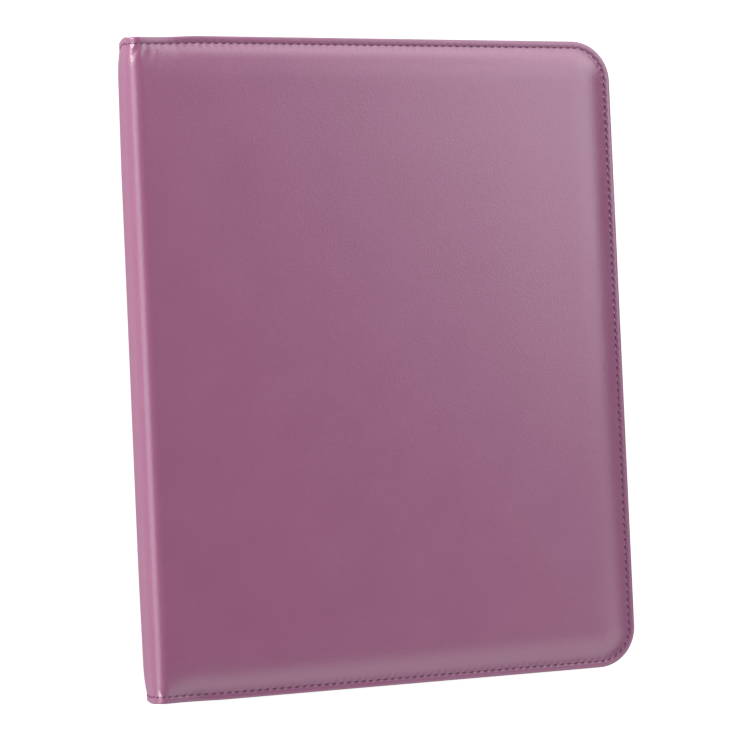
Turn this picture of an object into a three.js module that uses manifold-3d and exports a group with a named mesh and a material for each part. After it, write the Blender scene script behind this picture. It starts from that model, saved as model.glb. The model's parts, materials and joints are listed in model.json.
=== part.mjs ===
// A closed padfolio for letter-size writing pads: padded leather covers on a padded spine, with pockets
// inside the front cover and a writing pad in a sleeve inside the back cover.
// It lies closed on its back cover. +X runs from the spine to the fore edge, +Y up the page, and +Z out
// through the front cover. All sizes are in millimetres.
import * as THREE from "three";
import { mergeVertices } from "three/addons/utils/BufferGeometryUtils.js";
import Module from "manifold-3d";

const wasm = await Module();
wasm.setup();

// Layers of a cover, from its outer face inwards
const leather = 1.0;
const foam = 2.5;
const board = 2.0;
const lining = 0.8;
const bond = 0.2; // gap between two layers that are glued or sewn together

// Edge of a cover: a turned hem, sewn to the lining, around a padded face
const cornerRadius = 20;
const hemRound = 0.6;
const seamBand = 4.2; // flat hem outside the padding
const seamInset = 3.3; // stitch line from the cover's edge
const padRound = 14; // how far in from the hem the padding reaches its full height
const liningInset = 1.0; // the lining's edge from the cover's edge
const foamInset = 0.6; // the foam is cut this much smaller than the board
const threadWidth = 0.7;
const threadHeight = 0.4;

// Folds between the covers and the spine
const foldSlack = 0.1;
const foldGap = 0.3; // between the two halves of a fold, which turn apart
const foldClear = 0.4; // from the fold's centre to the stiff layers beside it

// Writing pad
const sheetWidth = 216;
const sheetHeight = 298.5;
const sheets = 4.6;
const backing = 0.9;
const tape = 0.25;
const tapeReach = 12;
const cornerWall = 4.5; // from the pad's square corner to the cover's round one
const endEase = 0.5; // extra room above and below the pad

// Pad sleeve, sewn to the lining on three sides and open at the top
const sleeveLeather = 0.8;
const sleeveHeight = 122;
const sleeveClear = 0.8; // around the pad's backing
const sleeveRim = 5;

// Pen loop in the gutter beside the pad
const penWidth = 12;
const loopLeather = 1.0;
const loopLength = 24;
const loopClear = 4; // on each side of the loop
const loopRise = 50; // from the sleeve's mouth to the loop
const loopCrown = 4.5; // radius of the loop's upper corners

// Document pocket inside the front cover, open at its slanted upper edge
const pocketLeather = 0.8;
const paperRoom = 0.6;
const pocketRim = 6;
const pocketHeight = 196; // at the spine side
const mouthDrop = 26; // how much lower the mouth is at the fore edge
const pocketClear = 2; // between the pen loop and the pocket's edge

// Card slots and window pocket, sewn to the document pocket
const cardLeather = 0.6;
const cardSlots = 3;
const slotStep = 14;
const slotHeight = 62;
const blockGap = 7;
const blockDrop = 14; // from the lower end of the mouth to the blocks
const blockRadius = 3;
const film = 0.3;
const frameLeather = 0.8;
const frameHeight = 76;
const frameBorder = 9;
const closingGap = 0.4; // between the pad and the pockets when the folder is shut

// Smoothness
const cornerSteps = 4;
const padSteps = 6;
const foldSteps = 4;
const leastRadius = 0.5;

// Depths of the layers, from the outer face of a cover
const foamDepth = leather + bond;
const boardDepth = foamDepth + foam + bond;
const hemInner = boardDepth + board;
const hemOuter = hemInner - 2 * leather;
const liningDepth = hemInner + bond;
const coverThickness = liningDepth + lining;

// Depths of the pockets, from the outer face of the front cover
const pocketBack = coverThickness + bond;
const pocketFace = pocketBack + paperRoom;
const pocketInner = pocketFace + pocketLeather;
const slotPitch = cardLeather + bond;
const filmDepth = pocketInner + bond;
const frameDepth = filmDepth + film + bond;
const pocketsInner = Math.max(pocketInner + cardSlots * slotPitch, frameDepth + frameLeather);

// Heights of the pad and its sleeve, from the outer face of the back cover
const tapeBase = coverThickness + bond;
const backingBase = tapeBase + tape + bond;
const sleeveFace = backingBase + backing + bond;
const sheetsBase = sleeveFace + sleeveLeather + bond;
const sheetsTop = sheetsBase + sheets;

// Size of the closed folder
const foldRadius = coverThickness + foldSlack;
const loopWidth = penWidth + 2 * loopLeather;
const gutter = loopWidth + 2 * loopClear;
const cornerMargin = cornerRadius - (cornerRadius - cornerWall) / Math.SQRT2;
const folderWidth = foldRadius + gutter + sheetWidth + cornerMargin;
const folderHeight = sheetHeight + 2 * (cornerMargin + endEase);
const folderThickness = sheetsTop + closingGap + pocketsInner;
const spineFace = -folderWidth / 2;
const foreEdge = folderWidth / 2;
const topEdge = folderHeight / 2;
const foldX = spineFace + foldRadius; // centre of both folds
const padLeft = foldX + gutter;
const padRight = padLeft + sheetWidth;
const padTop = sheetHeight / 2;

const materials = {
  leather: material(0x8f5c7b, 0.45),
  innerLeather: material(0x7d4f6c, 0.55),
  thread: material(0x4a2544, 0.7),
  lining: material(0x3b2a3a, 0.9),
  foam: material(0xd9d2c4, 0.95),
  board: material(0x8d8a84, 0.9),
  paper: material(0xf3f1ea, 0.9),
  tape: material(0x2b2730, 0.8),
  film: material(0xdfe6ea, 0.15),
};

function material(color, roughness) {
  return new THREE.MeshStandardMaterial({ color, roughness, metalness: 0 });
}

function mesh(name, geometry, finish) {
  const made = new THREE.Mesh(geometry, finish);
  made.name = name;
  return made;
}

function toSolid(geometry) {
  const bare = new THREE.BufferGeometry();
  bare.setAttribute("position", geometry.getAttribute("position"));
  bare.setIndex(geometry.index);
  const merged = mergeVertices(bare);
  return new wasm.Manifold(
    new wasm.Mesh({
      numProp: 3,
      vertProperties: merged.attributes.position.array,
      triVerts: new Uint32Array(merged.index.array),
    }),
  );
}

function toGeometry(solid) {
  const { vertProperties, triVerts } = solid.getMesh();
  return new THREE.BufferGeometry()
    .setAttribute("position", new THREE.BufferAttribute(vertProperties, 3))
    .setIndex(new THREE.BufferAttribute(triVerts, 1));
}

function cut(geometry, tool) {
  return toGeometry(toSolid(geometry).subtract(toSolid(tool)));
}

function common(geometry, other) {
  return toGeometry(toSolid(geometry).intersect(toSolid(other)));
}

function join(geometry, other) {
  return toGeometry(toSolid(geometry).add(toSolid(other)));
}

// A closed solid through rings of points, with flat ends. The outline gives the shape of the ends.
function loft(rings, outline) {
  const count = outline.length;
  const last = (rings.length - 1) * count;
  const index = [];
  for (let ring = 0; ring < last; ring += count) {
    for (let k = 0; k < count; k++) {
      const next = (k + 1) % count;
      index.push(ring + k, ring + next, ring + count + next);
      index.push(ring + k, ring + count + next, ring + count + k);
    }
  }
  for (const [a, b, c] of THREE.ShapeUtils.triangulateShape(outline, [])) {
    index.push(c, b, a, last + a, last + b, last + c);
  }
  return new THREE.BufferGeometry().setFromPoints(rings.flat()).setIndex(index);
}

function box(x0, x1, y0, y1, z0, z1) {
  const made = new THREE.BoxGeometry(x1 - x0, y1 - y0, z1 - z0);
  return made.translate((x0 + x1) / 2, (y0 + y1) / 2, (z0 + z1) / 2);
}

// A flat plate of that outline, from z0 to z1
function plate(shape, z0, z1) {
  const made = new THREE.ExtrudeGeometry(shape, { depth: z1 - z0, bevelEnabled: false });
  return made.translate(0, 0, z0);
}

// Outline of a cover, square at the spine side and round at the fore edge, inset from the cover's edge
function coverOutline(left, inset) {
  const radius = Math.max(cornerRadius - inset, leastRadius);
  const x = foreEdge - inset - radius;
  const y = topEdge - inset - radius;
  const path = new THREE.Path();
  path.moveTo(left, y + radius);
  path.lineTo(left, -y - radius);
  path.absarc(x, -y, radius, -Math.PI / 2, 0);
  path.absarc(x, y, radius, 0, Math.PI / 2);
  const [high, ...rest] = path.getPoints(cornerSteps);
  return [...rest, high];
}

// Lower part of that outline, up to a mouth that may slant
function pocketOutline(left, inset, mouthLeft, mouthRight) {
  const radius = Math.max(cornerRadius - inset, leastRadius);
  const x = foreEdge - inset;
  const y = inset - topEdge;
  const shape = new THREE.Shape();
  shape.moveTo(left, mouthLeft);
  shape.lineTo(left, y);
  shape.absarc(x - radius, y + radius, radius, -Math.PI / 2, 0);
  shape.lineTo(x, mouthRight);
  return shape;
}

function roundedRectangle(x0, x1, y0, y1, radius) {
  const shape = new THREE.Shape();
  shape.moveTo(x0, y0 + radius);
  shape.absarc(x0 + radius, y0 + radius, radius, Math.PI, Math.PI * 1.5);
  shape.absarc(x1 - radius, y0 + radius, radius, -Math.PI / 2, 0);
  shape.absarc(x1 - radius, y1 - radius, radius, 0, Math.PI / 2);
  shape.absarc(x0 + radius, y1 - radius, radius, Math.PI / 2, Math.PI);
  return shape;
}

// Pairs of inset and depth down the rounded edge of a padded layer, from its flat face to its seam
function paddedEdge(inset, outer, inner, round) {
  return Array.from({ length: padSteps + 1 }, (_, k) => {
    const angle = (k / padSteps) * (Math.PI / 2);
    return [inset + round * (1 - Math.sin(angle)), inner + (outer - inner) * Math.cos(angle)];
  });
}

const skinOuter = [
  ...paddedEdge(seamBand, 0, hemOuter, padRound),
  [hemRound, hemOuter],
  [0, hemOuter + hemRound],
  [0, hemInner - hemRound],
  [hemRound, hemInner],
];
const skinHollow = [
  ...paddedEdge(seamBand + leather, leather, hemOuter, padRound - leather),
  [seamBand + leather, hemInner + leather],
];
const stiffInset = seamBand + leather + bond; // edge of the foam and the board
const foamEdge = paddedEdge(
  stiffInset + foamInset,
  foamDepth,
  foamDepth + foam,
  padRound - leather - bond,
);

// The flat part of a cover's layer: one ring for each pair of inset and depth
function coverLayer(left, levels) {
  const rings = levels.map(([inset, depth]) =>
    coverOutline(left, inset).map((p) => new THREE.Vector3(p.x, p.y, depth)),
  );
  return loft(rings, coverOutline(left, 0));
}

// The same layer bent along stations, each with a point on the outer face and the direction inwards
function bentLayer(stations, levels) {
  const outline = [
    ...levels.map(([inset, depth]) => new THREE.Vector2(topEdge - inset, depth)),
    ...levels.toReversed().map(([inset, depth]) => new THREE.Vector2(inset - topEdge, depth)),
  ];
  const rings = stations.map(({ x, z, inX, inZ }) =>
    outline.map((p) => new THREE.Vector3(x + inX * p.y, p.x, z + inZ * p.y)),
  );
  return loft(rings, outline);
}

// Stations round a fold, by angle from the spine; side is -1 at the back cover and 1 at the front
function foldStations(side, from, to) {
  const z = side < 0 ? foldRadius : folderThickness - foldRadius;
  return Array.from({ length: foldSteps + 1 }, (_, k) => {
    const angle = from + ((to - from) * k) / foldSteps;
    const inX = Math.cos(angle);
    const inZ = -side * Math.sin(angle);
    return { x: foldX - inX * foldRadius, z: z - inZ * foldRadius, inX, inZ };
  });
}

const halfFold = Math.PI / 4;
const halfFoldGap = foldGap / 2 / foldRadius;

// Outer leather of a cover, with its half of the fold. Its hollow runs out past the end of the fold.
function coverSkin() {
  const overlap = leather;
  const layer = (levels, past) => {
    const stations = [
      ...foldStations(-1, halfFold + halfFoldGap - past, Math.PI / 2),
      { x: foldX + overlap, z: 0, inX: 0, inZ: 1 },
    ];
    return join(coverLayer(foldX, levels), bentLayer(stations, levels));
  };
  return cut(layer(skinOuter, 0), layer(skinHollow, 2 * halfFoldGap));
}

// Outer leather of the spine, with its half of both folds
function spineSkin() {
  const layer = (levels, past) => {
    const end = halfFold - halfFoldGap + past;
    return bentLayer([...foldStations(1, end, 0), ...foldStations(-1, 0, end)], levels);
  };
  return cut(layer(skinOuter, 0), layer(skinHollow, 2 * halfFoldGap));
}

const spineLow = foldRadius + foldClear;
const spineHigh = folderThickness - spineLow;

function spineFoam() {
  const stations = [
    { x: spineFace, z: spineHigh, inX: 1, inZ: 0 },
    { x: spineFace, z: spineLow, inX: 1, inZ: 0 },
  ];
  return bentLayer(stations, foamEdge);
}

function spinePlate(inset, outer, inner) {
  const y = topEdge - inset;
  return box(spineFace + outer, spineFace + inner, -y, y, spineLow, spineHigh);
}

function coverPlate(inset, outer, inner) {
  return plate(new THREE.Shape(coverOutline(foldX + foldClear, inset)), outer, inner);
}

const outerThread = hemOuter - bond - threadHeight; // depth of the thread on the hem
const innerThread = coverThickness + bond; // depth of the thread on the lining
const innerThreadLeft = spineFace + innerThread + threadHeight + foldClear;

// Thread along a cover's seam, as a strip around its three free sides
function seamStrip(left, z0, z1) {
  const outer = coverOutline(left, seamInset - threadWidth / 2);
  const inner = coverOutline(left, seamInset + threadWidth / 2);
  return plate(new THREE.Shape([...outer, ...inner.toReversed()]), z0, z1);
}

// Thread on a cover's lining, which climbs over the pocket sewn on with it
function liningThread(left, mouthLeft, mouthRight, face) {
  const over = (ease, z1) => {
    const inset = liningInset - ease;
    return plate(pocketOutline(left - ease, inset, mouthLeft + ease, mouthRight + ease), 0, z1);
  };
  const top = face + bond + threadHeight;
  const onLining = seamStrip(innerThreadLeft, innerThread, innerThread + threadHeight);
  const onPocket = common(
    seamStrip(innerThreadLeft, innerThread, top),
    over(bond + threadHeight, top),
  );
  return cut(join(onLining, onPocket), over(bond, face + bond));
}

// Thread across one end of the spine, between these heights; side is 1 at the top end and -1 at the bottom
function spineThread(side, depth, low) {
  const y = side * (topEdge - seamInset);
  const x = spineFace + depth;
  const half = threadWidth / 2;
  return box(x, x + threadHeight, y - half, y + half, low, folderThickness - low);
}

const sleeveLeft = padLeft - sleeveClear - sleeveRim;
const sleeveMouth = sleeveHeight - topEdge;
const sleeveTop = sleeveFace + sleeveLeather;

function padSleeve() {
  const shape = pocketOutline(sleeveLeft, liningInset, sleeveMouth, sleeveMouth);
  const body = plate(shape, coverThickness + bond, sleeveTop);
  const beyond = sleeveRim; // the hollow runs out past the mouth and the underside
  const hollow = box(
    padLeft - sleeveClear,
    padRight + sleeveClear,
    -padTop - sleeveClear,
    sleeveMouth + beyond,
    0,
    sleeveFace,
  );
  return cut(body, hollow);
}

// The loop is a flat-based arch, drawn across the page and pulled along it
function penLoop() {
  const height = folderThickness - 2 * coverThickness - bond - closingGap;
  const arch = (inset, Outline) => {
    const x = loopWidth / 2 - inset;
    const crown = loopCrown - inset;
    const y = height - inset - crown;
    const outline = new Outline();
    outline.moveTo(-x, inset);
    outline.lineTo(x, inset);
    outline.absarc(x - crown, y, crown, 0, Math.PI / 2);
    outline.absarc(crown - x, y, crown, Math.PI / 2, Math.PI);
    return outline;
  };
  const shape = arch(0, THREE.Shape);
  shape.holes.push(arch(loopLeather, THREE.Path));
  const made = mesh("pen_loop", plate(shape, 0, loopLength), materials.innerLeather);
  made.position.set(foldX + gutter / 2, sleeveMouth + loopRise + loopLength, coverThickness + bond);
  made.rotation.x = Math.PI / 2;
  return made;
}

function padTape() {
  const low = padTop - tapeReach;
  const high = padTop + bond;
  const outer = box(padLeft, padRight, low, high + tape, tapeBase, sheetsTop + bond + tape);
  const hollow = box(
    padLeft - tapeReach,
    padRight + tapeReach,
    low - tapeReach,
    high,
    tapeBase + tape,
    sheetsTop + bond,
  );
  return cut(outer, hollow);
}

const pocketLeft = foldX + loopClear + loopWidth + pocketClear;
const mouthHigh = pocketHeight - topEdge;
const mouthLow = mouthHigh - mouthDrop;

function documentPocket() {
  const body = plate(
    pocketOutline(pocketLeft, liningInset, mouthHigh, mouthLow),
    pocketBack,
    pocketInner,
  );
  const beyond = pocketRim;
  const hollow = plate(
    pocketOutline(
      pocketLeft + pocketRim,
      liningInset + pocketRim,
      mouthHigh + beyond,
      mouthLow + beyond,
    ),
    pocketBack - beyond,
    pocketFace,
  );
  return cut(body, hollow);
}

// Two blocks side by side on the document pocket: card slots near the spine, window near the fore edge
const blocksLeft = pocketLeft + pocketRim + blockGap;
const blocksRight = foreEdge - liningInset - pocketRim - blockGap;
const blockWidth = (blocksRight - blocksLeft - blockGap) / 2;
const blocksTop = mouthLow - blockDrop;

// Slot 0 lies against the pocket and stands highest; each one over it is lower by a step
function cardSlot(slot) {
  const high = blocksTop - slot * slotStep;
  const low = blocksTop - (cardSlots - 1) * slotStep - slotHeight;
  const shape = roundedRectangle(blocksLeft, blocksLeft + blockWidth, low, high, blockRadius);
  const depth = pocketInner + bond + slot * slotPitch;
  return plate(shape, depth, depth + cardLeather);
}

function windowPiece(inset, outer, inner) {
  const x0 = blocksRight - blockWidth;
  const low = blocksTop - frameHeight;
  const outline = (border) =>
    roundedRectangle(
      x0 + border,
      blocksRight - border,
      low + border,
      blocksTop - border,
      blockRadius,
    );
  const shape = outline(inset);
  if (inset === 0) shape.holes.push(outline(frameBorder));
  return plate(shape, outer, inner);
}

// One cover, lying on its outer face
function cover(name) {
  const group = new THREE.Group();
  group.add(
    mesh(`${name}_skin`, coverSkin(), materials.leather),
    mesh(`${name}_foam`, coverLayer(foldX + foldClear, foamEdge), materials.foam),
    mesh(`${name}_board`, coverPlate(stiffInset, boardDepth, hemInner), materials.board),
    mesh(`${name}_lining`, coverPlate(liningInset, liningDepth, coverThickness), materials.lining),
    mesh(
      `${name}_edge_thread`,
      seamStrip(foldX, outerThread, outerThread + threadHeight),
      materials.thread,
    ),
  );
  return group;
}

function backCover() {
  const group = cover("back_cover");
  group.add(
    mesh("pad_sleeve", padSleeve(), materials.innerLeather),
    penLoop(),
    mesh(
      "back_cover_lining_thread",
      liningThread(sleeveLeft, sleeveMouth, sleeveMouth, sleeveTop),
      materials.thread,
    ),
  );
  return group;
}

// The front cover is the back cover's mirror image, with the pockets inside it
function frontCover() {
  const group = cover("front_cover");
  group.add(mesh("document_pocket", documentPocket(), materials.innerLeather));
  for (let slot = 0; slot < cardSlots; slot++) {
    group.add(mesh(`card_slot_${slot + 1}`, cardSlot(slot), materials.innerLeather));
  }
  group.add(
    mesh("window_film", windowPiece(bond, filmDepth, filmDepth + film), materials.film),
    mesh("window_frame", windowPiece(0, frameDepth, frameDepth + frameLeather), materials.leather),
    mesh(
      "front_cover_lining_thread",
      liningThread(pocketLeft, mouthHigh, mouthLow, pocketInner),
      materials.thread,
    ),
  );
  group.scale.z = -1;
  group.position.z = folderThickness;
  return group;
}

function spine() {
  const group = new THREE.Group();
  group.add(
    mesh("spine_skin", spineSkin(), materials.leather),
    mesh("spine_foam", spineFoam(), materials.foam),
    mesh("spine_board", spinePlate(stiffInset, boardDepth, hemInner), materials.board),
    mesh("spine_lining", spinePlate(liningInset, liningDepth, coverThickness), materials.lining),
    mesh("spine_thread_top", spineThread(1, outerThread, foldRadius), materials.thread),
    mesh("spine_thread_bottom", spineThread(-1, outerThread, foldRadius), materials.thread),
    mesh("spine_lining_thread_top", spineThread(1, innerThread, spineLow), materials.thread),
    mesh("spine_lining_thread_bottom", spineThread(-1, innerThread, spineLow), materials.thread),
  );
  return group;
}

function writingPad() {
  const group = new THREE.Group();
  const pad = (z0, z1) => box(padLeft, padRight, -padTop, padTop, z0, z1);
  group.add(
    mesh("pad_backing", pad(backingBase, backingBase + backing), materials.board),
    mesh("pad_sheets", pad(sheetsBase, sheetsTop), materials.paper),
    mesh("pad_tape", padTape(), materials.tape),
  );
  return group;
}

const padfolio = new THREE.Group();
padfolio.add(backCover(), spine(), frontCover(), writingPad());

export default padfolio;
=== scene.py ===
import json
import math
import bmesh
import bpy
from mathutils import Matrix, Vector


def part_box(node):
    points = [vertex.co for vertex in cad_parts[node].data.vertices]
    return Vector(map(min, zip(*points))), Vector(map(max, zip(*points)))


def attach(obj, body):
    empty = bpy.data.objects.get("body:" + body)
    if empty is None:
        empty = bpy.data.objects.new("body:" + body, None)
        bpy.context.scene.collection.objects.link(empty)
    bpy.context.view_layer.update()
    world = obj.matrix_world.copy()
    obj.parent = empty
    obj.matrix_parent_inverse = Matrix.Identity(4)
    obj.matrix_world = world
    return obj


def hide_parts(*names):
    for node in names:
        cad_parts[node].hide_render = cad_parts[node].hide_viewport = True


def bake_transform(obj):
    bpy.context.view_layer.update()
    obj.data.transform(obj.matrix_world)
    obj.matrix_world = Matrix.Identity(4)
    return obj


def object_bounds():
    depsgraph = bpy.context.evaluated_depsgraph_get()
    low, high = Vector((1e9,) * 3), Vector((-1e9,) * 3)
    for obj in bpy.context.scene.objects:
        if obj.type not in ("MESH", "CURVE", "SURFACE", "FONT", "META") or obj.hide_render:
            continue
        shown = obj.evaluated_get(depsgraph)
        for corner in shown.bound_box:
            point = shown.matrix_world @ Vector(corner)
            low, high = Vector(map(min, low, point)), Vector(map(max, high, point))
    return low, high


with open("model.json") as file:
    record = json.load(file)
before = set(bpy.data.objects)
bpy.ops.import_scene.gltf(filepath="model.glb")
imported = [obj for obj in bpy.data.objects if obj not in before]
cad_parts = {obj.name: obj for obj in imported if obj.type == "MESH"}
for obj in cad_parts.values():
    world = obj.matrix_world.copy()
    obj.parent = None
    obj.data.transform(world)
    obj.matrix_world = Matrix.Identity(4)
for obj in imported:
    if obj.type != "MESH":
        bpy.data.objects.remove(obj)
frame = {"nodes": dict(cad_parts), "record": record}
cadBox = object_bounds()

# A closed padfolio of plum leatherette on a pale floor. Lengths are in metres, in the frame of the CAD.
# +X runs from the spine to the fore edge, +Y up the page and +Z out through the front cover.

scene = bpy.context.scene
cadLow, cadHigh = cadBox

folder = {
    "spineFace": cadLow.x,
    "foreEdge": cadHigh.x,
    "topEdge": cadHigh.y,
    "thickness": cadHigh.z,
    "foldRadius": 0.007,
    "cornerRadius": 0.020,
}
folder["foldX"] = folder["spineFace"] + folder["foldRadius"]  # centre of both folds
folder["spineHalf"] = folder["thickness"] / 2 - folder["foldRadius"]  # flat of the spine, to its middle
folder["foldLength"] = folder["foldRadius"] * math.pi / 2
folder["reach"] = folder["spineHalf"] + folder["foldLength"] + folder["foreEdge"] - folder["foldX"]

print("stage 1: camera, lights and floor")

cameraPlace = {
    "position": (-0.43187, -0.02932, 1.13740),
    "yaw": -20.797,
    "pitch": 1.080,
    "roll": -2.550,
    "lens": 117.03,
    "sensor": 36,
    "near": 0.01,
    "far": 50,
}


def makeCamera():
    data = bpy.data.cameras.new("camera")
    data.lens = cameraPlace["lens"]
    data.sensor_width = cameraPlace["sensor"]
    data.clip_start, data.clip_end = cameraPlace["near"], cameraPlace["far"]
    camera = bpy.data.objects.new("camera", data)
    scene.collection.objects.link(camera)
    camera.matrix_world = Matrix.Translation(cameraPlace["position"])
    for angle, axis in (("yaw", "Y"), ("pitch", "X"), ("roll", "Z")):
        camera.matrix_world = camera.matrix_world @ Matrix.Rotation(math.radians(cameraPlace[angle]), 4, axis)
    scene.camera = camera


makeCamera()

warmWhite, coolWhite = (1.0, 0.99, 0.99), (0.93, 0.94, 1.0)

# Each softbox: where it stands, its width and height, its power and its colour. All face the folder.
softboxes = {
    "lowLeftTop": {"at": (-1.161, 0.975, 0.322), "size": (0.9, 0.5), "power": 21, "colour": warmWhite},
    "lowLeftBottom": {"at": (-1.899, -1.380, 0.499), "size": (0.9, 0.6), "power": 27, "colour": warmWhite},
    "left": {"at": (-0.989, 0.0, 0.482), "size": (0.8, 0.7), "power": 4.2, "colour": warmWhite},
    "top": {"at": (0.740, 1.018, 0.614), "size": (1.4, 0.7), "power": 10.2, "colour": (1.0, 0.97, 1.0)},
    "key": {"at": (0.618, 0.343, 0.843), "size": (0.7, 0.5), "power": 3.4, "colour": coolWhite},
    "lowRight": {"at": (0.534, -0.683, 0.677), "size": (1.5, 0.7), "power": 4.7, "colour": (1.0, 1.0, 1.0)},
}


def makeSoftbox(name, box):
    data = bpy.data.lights.new(name, "AREA")
    data.shape = "RECTANGLE"
    data.size, data.size_y = box["size"]
    data.energy = box["power"]
    data.color = box["colour"]
    light = bpy.data.objects.new(name, data)
    scene.collection.objects.link(light)
    at = Vector(box["at"])
    light.matrix_world = Matrix.Translation(at) @ at.to_track_quat("Z", "Y").to_matrix().to_4x4()


for name, box in softboxes.items():
    makeSoftbox(name, box)

room = {
    "colour": (0.96, 0.95, 0.98, 1),
    "strength": 0.08,
    "floorWidth": 12,
    "floorDrop": 0.0004,  # under the lowest face of the padding
    "floorColour": (0.50, 0.50, 0.50, 1),
    "floorRoughness": 0.9,
    "floorSpecular": 0.1,
    "glowColour": (1, 1, 1, 1),
    "floorGlow": 0.78,
    "floorMirrored": 0.3,  # share of the glow that shows in reflections
}


# Sets a node's inputs, each to a value or to another node's output
def setInputs(tree, node, inputs):
    for label, value in inputs.items():
        if isinstance(value, bpy.types.NodeSocket):
            tree.links.new(value, node.inputs[label])
        else:
            node.inputs[label].default_value = value
    return node


def addNode(tree, kind, inputs, **settings):
    node = tree.nodes.new("ShaderNode" + kind)
    for name, value in settings.items():
        setattr(node, name, value)
    return setInputs(tree, node, inputs)


def mathNode(tree, operation, *values):
    return addNode(tree, "Math", dict(enumerate(values)), operation=operation).outputs[0]


def newMaterial(name):
    material = bpy.data.materials.new(name)
    material.use_nodes = True
    return material, material.node_tree, material.node_tree.nodes["Principled BSDF"]


world = bpy.data.worlds.new("room")
scene.world = world
world.use_nodes = True
background = world.node_tree.nodes["Background"]
setInputs(world.node_tree, background, {"Color": room["colour"], "Strength": room["strength"]})


def newGrid(across=1, along=1, size=1):
    bm = bmesh.new()
    bmesh.ops.create_grid(bm, x_segments=across, y_segments=along, size=size)
    return bm


# The floor takes the folder's shadow, and a glow seen by the camera and in reflections makes it white
def makeFloor():
    bm = newGrid(2, 2, room["floorWidth"] / 2)
    bmesh.ops.translate(bm, vec=(0, 0, -room["floorDrop"]), verts=bm.verts)
    mesh = bpy.data.meshes.new("floor")
    bm.to_mesh(mesh)
    bm.free()
    floor = bpy.data.objects.new("floor", mesh)
    scene.collection.objects.link(floor)
    material, tree, shader = newMaterial("paper floor")
    path = addNode(tree, "LightPath", {}).outputs
    mirrored = mathNode(tree, "MULTIPLY", path["Is Glossy Ray"], room["floorMirrored"])
    seen = mathNode(tree, "MAXIMUM", path["Is Camera Ray"], mirrored)
    seen = mathNode(tree, "MAXIMUM", seen, path["Is Transmission Ray"])
    setInputs(tree, shader, {
        "Base Color": room["floorColour"],
        "Roughness": room["floorRoughness"],
        "Specular IOR Level": room["floorSpecular"],
        "Emission Color": room["glowColour"],
        "Emission Strength": mathNode(tree, "MULTIPLY", seen, room["floorGlow"]),
    })
    mesh.materials.append(material)


makeFloor()

print("stage 2: materials")


def newGroup(name, inputs, outputs):
    group = bpy.data.node_groups.new(name, "ShaderNodeTree")
    for label, value in inputs.items():
        kind = "NodeSocketVector" if value is None else "NodeSocketFloat"
        socket = group.interface.new_socket(label, in_out="INPUT", socket_type=kind)
        if value is not None:
            socket.default_value = value
    for label in outputs:
        group.interface.new_socket(label, in_out="OUTPUT", socket_type="NodeSocketFloat")
    return group, group.nodes.new("NodeGroupInput").outputs, group.nodes.new("NodeGroupOutput")


def placeGroup(tree, group, inputs):
    return addNode(tree, "Group", inputs, node_tree=group).outputs


def mapNode(tree, name):
    return addNode(tree, "UVMap", {}, uv_map=name).outputs["UV"]


def placeNode(tree):
    return addNode(tree, "TexCoord", {}).outputs["Object"]


def noiseNode(tree, vector, scale, detail=4, stretch=None, roughness=0.5):
    if stretch:
        vector = addNode(tree, "Mapping", {"Vector": vector, "Scale": stretch}).outputs["Vector"]
    inputs = {"Vector": vector, "Scale": scale, "Detail": detail, "Roughness": roughness}
    return addNode(tree, "TexNoise", inputs).outputs["Fac"]


# A mix node has sockets for each kind of value; these are its colours A and B and its colour result
mixSockets = {"first": 6, "second": 7, "result": 2}


def mixColours(tree, factor, first, second):
    inputs = {"Factor": factor, mixSockets["first"]: first, mixSockets["second"]: second}
    return addNode(tree, "Mix", inputs, data_type="RGBA").outputs[mixSockets["result"]]


def bump(tree, height, strength, distance):
    return addNode(tree, "Bump", {"Height": height, "Strength": strength, "Distance": distance}).outputs["Normal"]


printedGrain = {
    "scale": 900.0,
    "lineDetail": 2,
    "lineStretch": 0.16,
    "poreScale": 1.3,
    "poreSmoothness": 0.6,
    "lineHeight": 0.5,
    "lineTone": 0.35,
    "cloudScale": 38,
    "cloudRoughness": 0.55,
    "cloudTone": 0.3,
}


# Printed leather grain: fine lines both ways like linen, small pores, and broad clouds of tone
def makeGrainGroup():
    values = printedGrain
    group, entry, leave = newGroup(
        "leather grain", {"Vector": None, "Scale": values["scale"]}, ("Height", "Tone", "Cloud"))
    vector, scale = entry["Vector"], entry["Scale"]
    across = noiseNode(group, vector, scale, values["lineDetail"], (values["lineStretch"], 1, 1))
    along = noiseNode(group, vector, scale, values["lineDetail"], (1, values["lineStretch"], 1))
    lines = mathNode(group, "ADD", across, along)
    pores = addNode(group, "TexVoronoi", {
        "Vector": vector,
        "Scale": mathNode(group, "MULTIPLY", scale, values["poreScale"]),
        "Smoothness": values["poreSmoothness"],
    }, feature="SMOOTH_F1")
    cloud = noiseNode(group, vector, values["cloudScale"], roughness=values["cloudRoughness"])
    clouded = mathNode(group, "MULTIPLY", cloud, values["cloudTone"])
    setInputs(group, leave, {
        "Height": mathNode(group, "MULTIPLY_ADD", lines, values["lineHeight"], pores.outputs["Distance"]),
        "Tone": mathNode(group, "MULTIPLY_ADD", lines, values["lineTone"], clouded),
        "Cloud": cloud,
    })
    return group


sewing = {"pitch": 0.0038, "inset": 0.0033, "holeSize": 0.0006}


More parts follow.
